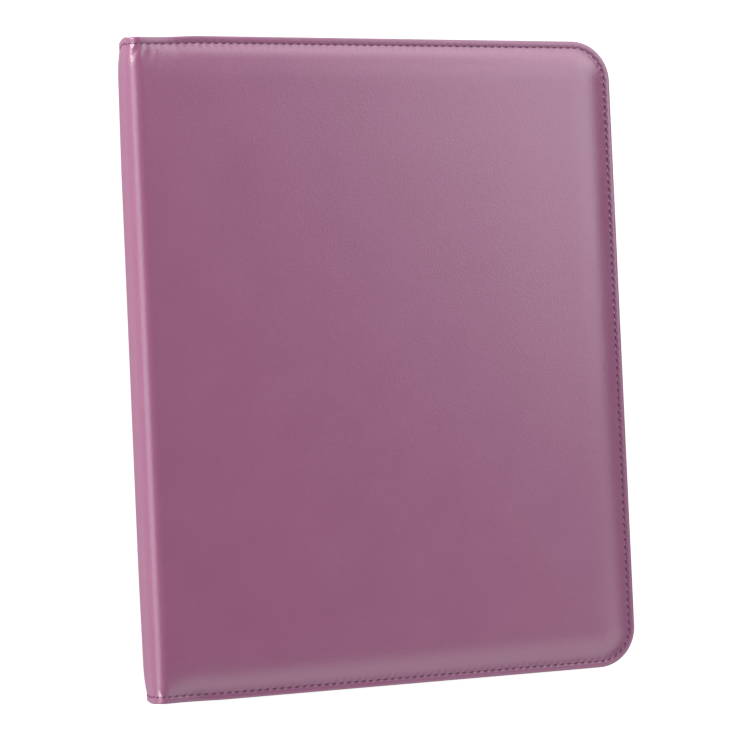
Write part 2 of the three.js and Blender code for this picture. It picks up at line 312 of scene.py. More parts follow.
# Needle holes along a sewn edge, from a map of distance along the seam and distance in from the edge
def makeHoleGroup():
    inputs = {"Vector": None, "Pitch": sewing["pitch"], "Inset": sewing["inset"], "Size": sewing["holeSize"]}
    group, entry, leave = newGroup("needle holes", inputs, ["Hole"])
    parts = addNode(group, "SeparateXYZ", {0: entry["Vector"]}).outputs
    near = mathNode(group, "PINGPONG", mathNode(group, "DIVIDE", parts["X"], entry["Pitch"]), 0.5)
    along = mathNode(group, "MULTIPLY", near, entry["Pitch"])
    across = mathNode(group, "SUBTRACT", parts["Y"], entry["Inset"])
    squared = mathNode(group, "MULTIPLY_ADD", along, along, mathNode(group, "MULTIPLY", across, across))
    inputs = {"Value": mathNode(group, "SQRT", squared), "From Max": entry["Size"], "To Min": 1, "To Max": 0}
    span = addNode(group, "MapRange", inputs, interpolation_type="SMOOTHSTEP")
    setInputs(group, leave, {"Hole": span.outputs["Result"]})
    return group


twill = {
    "pitch": 0.0007,
    "ribSlope": 1.6,
    "yarnSlope": -0.5,
    "yarnHeight": 0.4,
    "unevenScale": 420,
    "unevenDetail": 3,
    "unevenTone": 0.6,
    # painted shade in the grooves of the weave
    "grooveShade": 0.35,
}


# Woven cloth: ribs that run aslant, broken into single threads. Its tone varies at random, and is darker in the
# grooves between the ribs as painted shade
def makeTwillGroup():
    group, entry, leave = newGroup("twill weave", {"Vector": None, "Pitch": twill["pitch"]}, ("Height", "Tone"))
    parts = addNode(group, "SeparateXYZ", {0: entry["Vector"]}).outputs
    half = mathNode(group, "MULTIPLY", entry["Pitch"], 0.5)

    def ridge(slope):
        aslant = mathNode(group, "MULTIPLY_ADD", parts["Y"], slope, parts["X"])
        return mathNode(group, "DIVIDE", mathNode(group, "PINGPONG", aslant, half), half)

    rib, yarn = ridge(twill["ribSlope"]), ridge(twill["yarnSlope"])
    height = mathNode(group, "MULTIPLY_ADD", yarn, twill["yarnHeight"], rib)
    uneven = noiseNode(group, entry["Vector"], twill["unevenScale"], twill["unevenDetail"])
    # painted shade: the ribs are coloured lighter than the grooves between them
    grooveShading = mathNode(group, "MULTIPLY", height, twill["grooveShade"])
    tone = mathNode(group, "MULTIPLY_ADD", uneven, twill["unevenTone"], grooveShading)
    setInputs(group, leave, {"Height": height, "Tone": tone})
    return group


grainGroup = makeGrainGroup()
holeGroup = makeHoleGroup()
twillGroup = makeTwillGroup()

outerLeather = {
    "dark": (0.240, 0.075, 0.157, 1),
    "light": (0.312, 0.106, 0.206, 1),
    # painted shade: the dark colour of the shadow inside each needle hole
    "hole": (0.050, 0.012, 0.035, 1),
    "roughness": 0.29,
    "uneven": 0.08,
    "specular": 1.0,
    "grain": 1200.0,
    "holeShadeTone": 0.12,
    "holeBump": 3.0,
    "bump": (0.35, 0.00012),
}


innerLeather = {
    "dark": (0.215, 0.072, 0.150, 1),
    "light": (0.290, 0.104, 0.205, 1),
    "roughness": 0.41,
    "uneven": 0.1,
    "specular": 0.5,
    "grain": 1300.0,
    "bump": (0.35, 0.0001),
}


# Both leathers have the printed grain; the outer one follows its sheet and has needle holes as well, pressed in by a
# bump and darkened with painted shade
def makeGrained(name, values):
    material, tree, shader = newMaterial(name)
    sewn = "hole" in values
    place = mapNode(tree, "flat") if sewn else placeNode(tree)
    grain = placeGroup(tree, grainGroup, {"Vector": place, "Scale": values["grain"]})
    colour, height = mixColours(tree, grain["Tone"], values["dark"], values["light"]), grain["Height"]
    if sewn:
        hole = placeGroup(tree, holeGroup, {"Vector": mapNode(tree, "seam")})["Hole"]
        # darkens the leather at each needle hole with painted shade
        colour = mixColours(tree, mathNode(tree, "MULTIPLY", hole, values["holeShadeTone"]), colour, values["hole"])
        height = mathNode(tree, "SUBTRACT", height, mathNode(tree, "MULTIPLY", hole, values["holeBump"]))
    setInputs(tree, shader, {
        "Base Color": colour,
        "Roughness": mathNode(tree, "MULTIPLY_ADD", grain["Cloud"], values["uneven"], values["roughness"]),
        "Specular IOR Level": values["specular"],
        "Normal": bump(tree, height, *values["bump"]),
    })
    return material


# A flecked material: its dark and light colour, and the scale and bump of its flecks
def makePlain(name, dark, light, roughness, scale, strength, distance):
    material, tree, shader = newMaterial(name)
    fleck = noiseNode(tree, placeNode(tree), scale)
    setInputs(tree, shader, {
        "Base Color": mixColours(tree, fleck, dark, light),
        "Roughness": roughness,
        "Normal": bump(tree, fleck, strength, distance),
    })
    return material


woven = {"specular": 0.3, "sheen": 0.15, "bump": (0.4, 0.00008)}


# Woven cloth on a piece's own flat map, or on its place
def makeWoven(name, dark, light, roughness, pitch, onMap=True):
    material, tree, shader = newMaterial(name)
    place = mapNode(tree, "flat") if onMap else placeNode(tree)
    weave = placeGroup(tree, twillGroup, {"Vector": place, "Pitch": pitch})
    setInputs(tree, shader, {
        # the weave's tone includes painted shade in its grooves
        "Base Color": mixColours(tree, weave["Tone"], dark, light),
        "Roughness": roughness,
        "Specular IOR Level": woven["specular"],
        "Sheen Weight": woven["sheen"],
        "Normal": bump(tree, weave["Height"], *woven["bump"]),
    })
    return material


film = {
    "dark": (0.93, 0.95, 0.96, 1),
    "light": (0.97, 0.98, 0.99, 1),
    "clear": 1.0,
    "index": 1.45,
    "smearScale": 45,
    "smearDetail": 3,
    "smearStretch": (1, 0.35, 1),
    "roughness": 0.02,
    "uneven": 0.10,
    "bump": (0.15, 0.0002),
}


# Soft clear plastic with faint smears
def makeFilm():
    material, tree, shader = newMaterial("clear film")
    smear = noiseNode(tree, placeNode(tree), film["smearScale"], film["smearDetail"], film["smearStretch"])
    setInputs(tree, shader, {
        "Base Color": mixColours(tree, smear, film["dark"], film["light"]),
        "Transmission Weight": film["clear"],
        "IOR": film["index"],
        "Roughness": mathNode(tree, "MULTIPLY_ADD", smear, film["uneven"], film["roughness"]),
        "Normal": bump(tree, smear, *film["bump"]),
    })
    return material


ruling = {
    "paper": (0.88, 0.86, 0.79, 1),
    "fleck": (0.8, 0.76, 0.68, 1),
    "line": (0.42, 0.52, 0.66, 1),
    "margin": (0.62, 0.28, 0.30, 1),
    "spacing": 0.0071,
    "width": 0.00016,
    "lastLine": 0.124,
    "marginX": -0.0660,
    "marginGap": 0.0009,  # the margin is two lines, each this far from its middle
    "toothScale": 500,
    "toothTone": 0.05,
    "roughness": 0.85,
    "bump": (0.1, 0.00004),
}


def makeRuledPaper():
    material, tree, shader = newMaterial("ruled paper")
    place = placeNode(tree)
    parts = addNode(tree, "SeparateXYZ", {0: place}).outputs
    near = mathNode(tree, "PINGPONG", parts["Y"], ruling["spacing"] / 2)
    line = mathNode(tree, "LESS_THAN", near, ruling["width"])
    below = mathNode(tree, "LESS_THAN", parts["Y"], ruling["lastLine"])
    offset = mathNode(tree, "ABSOLUTE", mathNode(tree, "SUBTRACT", parts["X"], ruling["marginX"]))
    margin = mathNode(tree, "COMPARE", offset, ruling["marginGap"], ruling["width"])
    tooth = noiseNode(tree, place, ruling["toothScale"])
    flecked = mathNode(tree, "MULTIPLY", tooth, ruling["toothTone"])
    tone = mixColours(tree, flecked, ruling["paper"], ruling["fleck"])
    tone = mixColours(tree, mathNode(tree, "MULTIPLY", line, below), tone, ruling["line"])
    setInputs(tree, shader, {
        "Base Color": mixColours(tree, margin, tone, ruling["margin"]),
        "Roughness": ruling["roughness"],
        "Normal": bump(tree, tooth, *ruling["bump"]),
    })
    return material


finishes = {
    "leatherette": makeGrained("plum leatherette", outerLeather),
    "inner_leatherette": makeGrained("inner leatherette", innerLeather),
    "lining": makeWoven("twill lining", (0.026, 0.015, 0.026, 1), (0.062, 0.037, 0.060, 1), 0.8, twill["pitch"]),
    "foam": makePlain("foam", (0.60, 0.55, 0.46, 1), (0.74, 0.70, 0.62, 1), 0.95, 700, 0.5, 0.0003),
    "board": makePlain("grey board", (0.22, 0.20, 0.175, 1), (0.34, 0.31, 0.27, 1), 0.9, 420, 0.3, 0.0001),
    "thread": makePlain("plum thread", (0.095, 0.024, 0.068, 1), (0.155, 0.044, 0.112, 1), 0.6, 2600, 0.5, 0.0001),
    "paper": makePlain("paper", (0.84, 0.82, 0.75, 1), (0.89, 0.87, 0.81, 1), 0.9, 600, 0.1, 0.00005),
    "binding_tape": makeWoven("binding tape", (0.026, 0.020, 0.026, 1), (0.052, 0.043, 0.052, 1), 0.7, 0.0005, False),
    "ruled paper": makeRuledPaper(),
    "clear_film": makeFilm(),
}

print("stage 3: leather shells")

tiny = 1e-6  # nearer than this, two points are one

# Depths are measured in from the outer face of the padding, insets in from the sewn edge
skin = {
    "thickness": 0.0009,
    "sharpAngle": 50,
    "hemDepth": 0.0039,  # outer face of the hem
    "spineHem": 0.0011,  # the same across the spine's ends, which are sewn nearly flush
    "hemEase": (0.0110, 0.0360),  # where one goes over into the other, from the spine's middle
    "drawIn": {"top": 0.0012, "bottom": 0.0006},  # how far the fold pulls the ends in
    "drawFrom": 0.020,  # how far from the ends that begins
    "drawRise": 0.0090,  # across the spine, where it comes up to its full size
    "drawFade": (0.0180, 0.0480),  # on the cover, where it dies away
    "hemInner": 0.0059,  # inner face of the hem
    "edgeRound": 0.001,
    "turnIn": 0.0055,  # how far the edge is turned in under the hem
    "padStart": 0.0039,
    "padReach": 0.0185,
    "padCurve": 2.7,
    "steps": 6,  # points of the outline for each stitch
    "rings": (0.000134, 0.0005, 0.001, 0.0018, 0.0025, 0.0029, 0.0033, 0.0037, 0.0040, 0.0043, 0.0047, 0.0053,
              0.0061, 0.0072, 0.0086, 0.0104, 0.0126, 0.0152, 0.0182),
    "holeDip": 0.00030,
    "holeReach": 0.0007,
    "holeEven": 0.35,  # share of the dip that stays between two holes
    "scallop": 0.00020,
    "scallopInset": 0.0047,
    "scallopReach": 0.0012,
    "uneven": 0.25,  # share of the scallops that varies along the seam
    "unevenWaves": (413.0, 171.0),
    "crown": 0.0004,
    "crownInset": 0.01,
    "crownReach": 0.06,
    "fieldStep": 7,  # the field takes every seventh line of the outline
    "foldMargin": 0.001,  # each side of the fold, where it takes every line
}

# Wrinkles beside the fold at the head and, weaker, at the foot
gather = {
    "depth": 0.00025,
    "ripple": 0.00018,
    "wave": 0.0057,
    "slant": 0.6,
    "phase": 1.1,
    "inset": 0.0078,
    "insetReach": 0.0036,
    "across": 0.0165,
    "acrossReach": 0.0095,
    "footShare": 0.4,
    "fromEnd": 0.03,
    "fromMiddle": 0.05,
}


def smooth(share):
    share = min(max(share, 0), 1)
    return share * share * (3 - 2 * share)


def bell(value, width):
    return math.exp(-((value / width) ** 2))


# Keeps a share of something even and lets the wave have the rest
def partly(even, wave):
    return even + (1 - even) * wave


# A wave that is 1 at each multiple of its length and 0 half way between
def ripple(value, length):
    return 0.5 + 0.5 * math.cos(2 * math.pi * value / length)


def newPiece(name, bm, slot, finish=None):
    mesh = bpy.data.meshes.new(name)
    bm.to_mesh(mesh)
    bm.free()
    piece = bpy.data.objects.new(name, mesh)
    scene.collection.objects.link(piece)
    mesh.materials.append(finishes[finish or slot])
    mesh.shade_smooth()
    return piece


# Gives a sheet its thickness for good, with a crisp edge where its face meets its rim
def thicken(piece, thickness):
    solid = piece.modifiers.new("thickness", "SOLIDIFY")
    solid.thickness = thickness
    solid.offset = -1
    solid.use_even_offset = False
    thick = bpy.data.meshes.new_from_object(piece.evaluated_get(bpy.context.evaluated_depsgraph_get()))
    thin = piece.data
    piece.modifiers.clear()
    piece.data = thick
    bpy.data.meshes.remove(thin)
    thick.name = piece.name
    thick.set_sharp_from_angle(angle=math.radians(skin["sharpAngle"]))


# A flat sheet with round corners, its outline cut into short edges
def roundedSheet(halfWidth, halfHeight, radius, step):
    bm = newGrid()
    bmesh.ops.scale(bm, vec=(halfWidth, halfHeight, 1), verts=bm.verts)
    arc = max(2, round(radius * math.pi / 2 / step))
    bmesh.ops.bevel(bm, geom=bm.verts[:], offset=radius, affect="VERTICES", segments=arc, profile=0.5, material=-1)
    cutOutline(bm, step)
    return bm


def cutOutline(bm, step):
    for edge in bm.edges[:]:
        cuts = round(edge.calc_length() / step) - 1
        if cuts > 0:
            bmesh.ops.subdivide_edges(bm, edges=[edge], cuts=cuts)


def insetRings(bm, rings):
    done = 0
    for inset in rings:
        field = max(bm.faces, key=lambda face: face.calc_area())
        bmesh.ops.inset_region(bm, faces=[field], thickness=inset - done, use_boundary=True, use_even_offset=True)
        done = inset


def cutAcross(bm, faces, axis, values):
    normal = Vector((1, 0, 0)) if axis == 0 else Vector((0, 1, 0))
    for value in values:
        parts = set(faces)
        geometry = list(parts | {e for f in parts for e in f.edges} | {v for f in parts for v in f.verts})
        made = bmesh.ops.bisect_plane(bm, geom=geometry, dist=tiny, plane_co=normal * value, plane_no=normal)
        faces = [f for f in made["geom"] if isinstance(f, bmesh.types.BMFace)]
    return faces


# Straight lengths and corner of the seam round a half sheet, from the middle of the spine
def seamPath(halfWidth, halfHeight, radius, inset, pitch):
    path = {"flatX": halfWidth - radius, "flatY": halfHeight - radius, "radius": radius, "inset": inset}
    path["corner"] = (radius - inset) * math.pi / 2
    path["length"] = 2 * (path["flatX"] + path["corner"] + path["flatY"])
    path["count"] = round(path["length"] / pitch)
    path["pitch"] = path["length"] / path["count"]
    return path


# Where a point lies on a sheet: distance along the seam, distance in from the edge, and the way out to the edge
def onSeam(path, x, y):
    awayX, awayY = max(abs(x) - path["flatX"], 0), max(abs(y) - path["flatY"], 0)
    away = math.hypot(awayX, awayY)
    if awayX > 0 and awayY > 0:
        along = path["flatX"] + path["corner"] * math.atan2(awayX, awayY) / (math.pi / 2)
    elif awayX > 0:
        along = path["flatX"] + path["corner"] + path["flatY"] - abs(y)
    else:
        along = abs(x)
    inset = path["radius"] - away
    if away == 0:
        return along, path["radius"] + min(path["flatX"] - abs(x), path["flatY"] - abs(y)), Vector((0, 0))
    out = Vector((math.copysign(awayX, x), math.copysign(awayY, y))) / away
    return along, inset, out


# The point of the seam at a distance along it, and its direction
def seamPoint(path, along):
    flip = along > path["length"] / 2
    s = path["length"] - along if flip else along
    reach = path["radius"] - path["inset"]
    if s < path["flatX"]:
        point, way = (s, path["flatY"] + reach), (1, 0)
    elif s < path["flatX"] + path["corner"]:
        angle = (s - path["flatX"]) / reach
        point = (path["flatX"] + reach * math.sin(angle), path["flatY"] + reach * math.cos(angle))
        way = (math.cos(angle), -math.sin(angle))
    else:
        point, way = (path["flatX"] + reach, path["flatY"] - (s - path["flatX"] - path["corner"])), (0, -1)
    if flip:
        return Vector((point[0], -point[1])), Vector((-way[0], way[1]))
    return Vector(point), Vector(way)


# The fold pulls the ends of the leather and lining in a little
def drawnIn(x, y):
    near = smooth((abs(y) - folder["topEdge"] + skin["drawFrom"]) / skin["drawFrom"])
    start, end = skin["drawFade"]
    across = smooth(x / skin["drawRise"]) * (1 - smooth((x - start) / (end - start)))
    return y - math.copysign(skin["drawIn"]["top" if y > 0 else "bottom"] * near * across, y)


# Bends a flat point round the fold: x is the distance from the spine's middle, z is minus the depth
def bent(point, side):
    depth, out = -point.z, folder["foldRadius"] + point.z
    beyond = point.x - folder["spineHalf"]
    top = folder["thickness"]
    if beyond <= 0:
        x, z = folder["spineFace"] + depth, top / 2 + point.x
    elif beyond < folder["foldLength"]:
        angle = beyond / folder["foldRadius"]
        x = folder["foldX"] - out * math.cos(angle)
        z = top - folder["foldRadius"] + out * math.sin(angle)
    else:
        x, z = folder["foldX"] + beyond - folder["foldLength"], top - depth
    return Vector((x, drawnIn(point.x, point.y), z if side == "front" else top - z))


# Depth of the hem at a distance from the spine's middle
def hemAt(x):
    start, end = skin["hemEase"]
    return skin["spineHem"] + (skin["hemDepth"] - skin["spineHem"]) * smooth((x - start) / (end - start))


# Depth of the padding's face: a rounded edge, the flat hem, and the rise to the field
def padProfile(hem, inset):
    radius = skin["edgeRound"]
    if inset <= radius:
        return hem + radius - math.sqrt(max(radius ** 2 - (radius - inset) ** 2, 0))
    share = min(max((inset - skin["padStart"]) / skin["padReach"], 0), 1)
    return hem * (1 - share) ** skin["padCurve"]


# Depth of the leather: rounded padding, drawn in at each needle hole, gathered where it turns into the spine
def leatherDepth(path, x, y):
    along, inset, out = onSeam(path, x, y)
    depth = padProfile(hemAt(x), inset)
    wave = ripple(along, path["pitch"])
    waver = math.prod(math.sin(along * each) for each in skin["unevenWaves"])
    scallop = skin["scallop"] * wave * (1 - skin["uneven"] + skin["uneven"] * waver)
    depth += skin["holeDip"] * partly(skin["holeEven"], wave) * bell(inset - path["inset"], skin["holeReach"])
    depth += scallop * bell(inset - skin["scallopInset"], skin["scallopReach"])
    depth -= skin["crown"] * smooth((inset - skin["crownInset"]) / skin["crownReach"])
    if abs(y) > folder["topEdge"] - gather["fromEnd"] and x < gather["fromMiddle"]:
        place = bell(inset - gather["inset"], gather["insetReach"]) * bell(x - gather["across"], gather["acrossReach"])
        turn = 2 * math.pi * (x + gather["slant"] * inset) / gather["wave"] + gather["phase"]
        depth += place * (1 if y > 0 else gather["footShare"]) * (gather["depth"] + gather["ripple"] * math.sin(turn))
    return depth


# Half of a flat sheet, from the spine's middle to the fore edge, with fine rings round a coarser field
def halfSheet(halfWidth, halfHeight, radius, step, rings, every):
    bm = roundedSheet(halfWidth, halfHeight, radius, step)
    insetRings(bm, rings)
    whole = bm.verts[:] + bm.edges[:] + bm.faces[:]
    bmesh.ops.bisect_plane(bm, geom=whole, dist=tiny, plane_co=(0, 0, 0), plane_no=(1, 0, 0), clear_inner=True)
    field = max(bm.faces, key=lambda face: face.calc_area())
    top = max(v.co.y for v in field.verts)
    side = max(v.co.x for v in field.verts)
    columns = sorted({round(v.co.x, 7) for v in field.verts if abs(v.co.y - top) < tiny})
    rows = sorted({round(v.co.y, 7) for v in field.verts if abs(v.co.x - side) < tiny})
    foldEnd = folder["spineHalf"] + folder["foldLength"] + skin["foldMargin"]
    lines = [x for x in columns if folder["spineHalf"] - skin["foldMargin"] < x < foldEnd]
    lines += [x for x in columns if x >= foldEnd][::every]
    faces = cutAcross(bm, [field], 0, lines)
    cutAcross(bm, faces, 1, rows[every // 2::every])
    return bm


# Two maps for the materials: the place on the flat sheet, and the distances along and in from the seam
def addMaps(bm, path):
    flat = bm.loops.layers.uv.new("flat")
    seam = bm.loops.layers.uv.new("seam")
    for face in bm.faces:
        for loop in face.loops:
            x, y, _ = loop.vert.co
            along, inset, out = onSeam(path, x, y)
            loop[flat].uv = (x, y)
            loop[seam].uv = (along, inset)


# Draws the boundary on to further rings, each an inset from the edge and a depth
def turnUnder(bm, path, rings):
    for inset, depth in rings:
        rim = [e for e in bm.edges if e.is_boundary and max(v.co.x for v in e.verts) > tiny]
        made = bmesh.ops.extrude_edge_only(bm, edges=rim)["geom"]
        for vert in (v for v in made if isinstance(v, bmesh.types.BMVert)):
            along, now, out = onSeam(path, vert.co.x, vert.co.y)
            vert.co.x -= out.x * (inset - now)
            vert.co.y -= out.y * (inset - now)
            vert.co.z = -depth


# Bends the flat mesh into the closed folder with its faces outwards on the given side
def closeUp(bm, side, outwards=True):
    for vert in bm.verts:
        vert.co = bent(vert.co, side)
    bmesh.ops.remove_doubles(bm, verts=bm.verts, dist=tiny)
    bmesh.ops.recalc_face_normals(bm, faces=bm.faces)
    bm.normal_update()
    largest = max(bm.faces, key=lambda face: face.calc_area())
    up = (largest.normal.z > 0) == (side == "front")
    if up != outwards:
        bmesh.ops.reverse_faces(bm, faces=bm.faces)


# Bakes the place of a piece that crosses a fold into its mesh, the same on either side
def foldBlend(piece, side):
    if side == "front":
        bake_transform(piece)
    else:
        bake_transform(piece)


leatherPath = seamPath(folder["reach"], folder["topEdge"], folder["cornerRadius"], sewing["inset"], sewing["pitch"])
outerPitch = leatherPath["pitch"]
print("stitches round each half:", leatherPath["count"], "pitch", round(outerPitch * 1000, 3), "mm")


def makeLeather(side, stands):
    step = sewing["pitch"] / skin["steps"]
    bm = halfSheet(folder["reach"], folder["topEdge"], folder["cornerRadius"], step, skin["rings"], skin["fieldStep"])
    for vert in bm.verts:
        vert.co.z = -leatherDepth(leatherPath, vert.co.x, vert.co.y)
    half = math.sqrt(0.5)
    depth, radius = skin["hemInner"], skin["edgeRound"]
    turnUnder(bm, leatherPath, [
        (radius * (1 - half), depth - radius * (1 - half)),
        (radius, depth),
        (skin["turnIn"], depth),
    ])
    addMaps(bm, leatherPath)
    closeUp(bm, side)
    piece = newPiece(side + "_leather", bm, "leatherette")
    thicken(piece, skin["thickness"])
    foldBlend(piece, side)
    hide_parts(*stands)
    print(piece.name, len(piece.data.vertices), "points")


makeLeather("front", ["front_cover_skin", "spine_skin"])
makeLeather("back", ["back_cover_skin"])

stitch = {
    "length": 0.0021,
    "width": 0.00045,  # half of it, as the height
    "height": 0.00030,
    "slant": 12,
    "rowShare": 0.76,  # of the pitch, in a straight row
    "lift": 0.0001,
    "foldGap": 0.0008,
    "around": 8,
    "rings": 5,
    "batch": 16,
}


# Where one stitch lies: its middle, its direction on the sheet and its height
def stitchPlace(point, way, height, length=None):
    turn = Matrix.Rotation(math.atan2(way.y, way.x) + math.radians(stitch["slant"]), 4, "Z")
    size = Matrix.Diagonal(((length or stitch["length"]) / 2, stitch["width"], stitch["height"], 1))
    tip = Matrix.Rotation(math.pi / 2, 4, "Y")
    return Matrix.Translation((point.x, point.y, height)) @ turn @ size @ tip


# Slim beads that dip at both ends, made a few at a time because a large bmesh is slow to add to
def stitchBeads(places):
    whole = bmesh.new()
    for first in range(0, len(places), stitch["batch"]):
        batch = bmesh.new()
        for place in places[first:first + stitch["batch"]]:
            bmesh.ops.create_uvsphere(
                batch, u_segments=stitch["around"], v_segments=stitch["rings"], radius=1, matrix=place)
        part = bpy.data.meshes.new("stitches")
        batch.to_mesh(part)
        batch.free()
        whole.from_mesh(part)
        bpy.data.meshes.remove(part)
    return whole


# Stitches of a straight row between two points
def rowPlaces(first, last, height, pitch=None):
    first, last = Vector(first), Vector(last)
    count = max(1, round((last - first).length / (pitch or outerPitch)))
    way = (last - first) / count
    length = way.length * stitch["rowShare"]
    return [stitchPlace(first + way * (k + 0.5), way, height, length) for k in range(count)]


# Stitches along a seam that crosses a fold; skip leaves out those at some points
def foldedStitches(name, side, path, height, stands, skip=None):
    places = []
    for k in range(path["count"]):
        point, way = seamPoint(path, (k + 0.5) * path["pitch"])
        if skip and skip(point):
            continue
        places.append(stitchPlace(point, way, -height(point)))
    bm = stitchBeads(places)
    for vert in bm.verts:
        vert.co = bent(vert.co, side)
    bmesh.ops.recalc_face_normals(bm, faces=bm.faces)
    piece = newPiece(name, bm, "thread")
    foldBlend(piece, side)
    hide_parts(*stands)


def outerThread(point):
    return hemAt(point.x) + stitch["lift"]


foldedStitches("front_stitches", "front", leatherPath, outerThread,
               ["front_cover_edge_thread", "spine_thread_top", "spine_thread_bottom"])
foldedStitches("back_stitches", "back", leatherPath, outerThread, ["back_cover_edge_thread"])

print("stage 4: linings")

cloth = {
    "inset": 0.001,  # from the edge of the cover
    "depth": 0.0069,
    "thickness": 0.0005,
    "edgeDrop": 0.00045,
    "edgeRound": 0.0009,
    "seamDip": 0.00008,
    "holeDip": 0.00012,
    "seamReach": 0.0006,
    "rings": (0.00015, 0.0004, 0.0009, 0.0016, 0.0020, 0.0023, 0.0026, 0.0031, 0.0045, 0.0070, 0.0110),
    "steps": 3,
    "fieldStep": 5,
    "blendEase": 0.0006,
    "threadLift": 0.00002,
}
cloth["halfWidth"] = folder["reach"] - cloth["inset"]
cloth["halfHeight"] = folder["topEdge"] - cloth["inset"]
cloth["corner"] = folder["cornerRadius"] - cloth["inset"]
clothPath = seamPath(cloth["halfWidth"], cloth["halfHeight"], cloth["corner"], sewing["inset"] - cloth["inset"],
                     outerPitch)


def clothDepth(x, y):
    along, inset, out = onSeam(clothPath, x, y)
    share = min(max(inset / cloth["edgeRound"], 0), 1)
    depth = cloth["depth"] - cloth["edgeDrop"] * (1 - math.sqrt(1 - (1 - share) ** 2))
    drawn = cloth["seamDip"] + cloth["holeDip"] * ripple(along, clothPath["pitch"])
    return depth - drawn * bell(inset - clothPath["inset"], cloth["seamReach"])


def makeLining(side, stands):
    step = outerPitch / cloth["steps"]
    bm = halfSheet(cloth["halfWidth"], cloth["halfHeight"], cloth["corner"], step, cloth["rings"], cloth["fieldStep"])
    for vert in bm.verts:
        vert.co.z = -clothDepth(vert.co.x, vert.co.y)
    addMaps(bm, clothPath)
    closeUp(bm, side, outwards=False)
    piece = newPiece(side + "_lining", bm, "lining")
    thicken(piece, cloth["thickness"])
    foldBlend(piece, side)
    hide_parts(*stands)


makeLining("front", ["front_cover_lining", "spine_lining"])
makeLining("back", ["back_cover_lining"])

print("stage 5: pockets")

boxes = {name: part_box(name) for name in frame["nodes"]}
coverInside = cloth["depth"]


# A sewn pocket: its sides, and the heights of its mouth at the left and, lower by the slope, at the right
def pocketShape(node, slope=0):
    low, high = boxes[node]
    return {"left": low.x, "right": high.x, "bottom": low.y, "mouthLeft": high.y, "mouthRight": high.y - slope}


sleeveShape = pocketShape("pad_sleeve")
documentShape = pocketShape("document_pocket", slope=0.026)


# How far in a point lies from the sewn sides, before the corners are rounded
def sewnInset(shape, x, y):
    return min(shape["right"] - x, y - shape["bottom"], x - shape["left"])


def mouthHeight(shape, x):
    share = (x - shape["left"]) / (shape["right"] - shape["left"])
    return shape["mouthLeft"] + (shape["mouthRight"] - shape["mouthLeft"]) * share


# Lifts are above the lining; the hem runs along the mouth
pocket = {
    "thickness": 0.0007,
    "rimLift": 0.00085,
    "rimStart": 0.0028,
    "rim": 0.0052,
    "seam": 0.0023,
    "seamDip": 0.00012,
    "seamEven": 0.5,
    "seamReach": 0.0006,
    "edgeDrop": 0.00020,
    "edgeReach": 0.0008,
    "smallCorner": 0.0018,
    "hem": 0.0070,
    "hemLift": 0.00025,
    "hemEase": 0.0006,
    "hemSeam": 0.0055,
    "hemDip": 0.00018,
    "hemReach": 0.0005,
    "mouthDrop": 0.00025,
    "mouthReach": 0.0007,
    "slantFrom": 0.8,  # share of the height over which the rows take on the mouth's slope
    "mouthRow": 0.003,  # where the rows of stitches begin and end
    "sideRow": (0.004, 0.001),
    "rings": (0.0003, 0.0008, 0.0016, 0.0021, 0.0025, 0.0030, 0.0036, 0.0043, 0.0052, 0.0062, 0.0068, 0.0073,
              0.0085),
    "cornerLines": 7,
    "step": 0.0015,
    "fieldStep": 0.008,
}


# Lift of a pocket's outer face above the lining at a point
def pocketLift(shape, full, x, y):
    inset = sewnInset(shape, x, y)
    mouth = mouthHeight(shape, x) - y
    risen = smooth((inset - pocket["rimStart"]) / (pocket["rim"] - pocket["rimStart"]))
    lift = pocket["rimLift"] + (full - pocket["rimLift"]) * risen
    wave = partly(pocket["seamEven"], ripple(x + y, outerPitch))
    lift -= pocket["seamDip"] * wave * bell(inset - pocket["seam"], pocket["seamReach"])
    lift -= pocket["edgeDrop"] * (1 - smooth(inset / pocket["edgeReach"]))
    lift += pocket["hemLift"] * smooth((pocket["hem"] - mouth) / pocket["hemEase"])
    lift -= pocket["hemDip"] * bell(mouth - pocket["hemSeam"], pocket["hemReach"])
    return lift - pocket["mouthDrop"] * (1 - smooth(mouth / pocket["mouthReach"]))


# Lines across a sheet: close together near both ends, and even in between
def gridLines(low, high, insets, step):
    near, far = low + insets[-1], high - insets[-1]
    count = max(1, round((far - near) / step))
    middle = [near + (far - near) * k / count for k in range(1, count)]
    return [low + inset for inset in insets] + middle + [high - inset for inset in insets]


# A flat sheet with square corners, cut along these lines
def lineSheet(left, right, bottom, top, columns, rows):
    bm = newGrid()
    for vert in bm.verts:
        vert.co.xy = (right if vert.co.x > 0 else left, top if vert.co.y > 0 else bottom)
    cutAcross(bm, cutAcross(bm, bm.faces[:], 0, columns), 1, rows)
    return bm


# Draws the square of a corner in to a quarter circle; way points from the sheet out to the corner
def roundCorner(bm, corner, way, radius, fade=0.0):
    middle = (corner[0] - way[0] * radius, corner[1] - way[1] * radius)
    for vert in bm.verts:
        x, y = (vert.co.x - middle[0]) * way[0], (vert.co.y - middle[1]) * way[1]
        if x > 0 and y > 0:
            reach = max(x, y)
            weight = 1 - smooth((reach - radius) / fade) if fade else 1
            share = 1 - (1 - reach / math.hypot(x, y)) * weight
            vert.co.xy = (middle[0] + way[0] * x * share, middle[1] + way[1] * y * share)


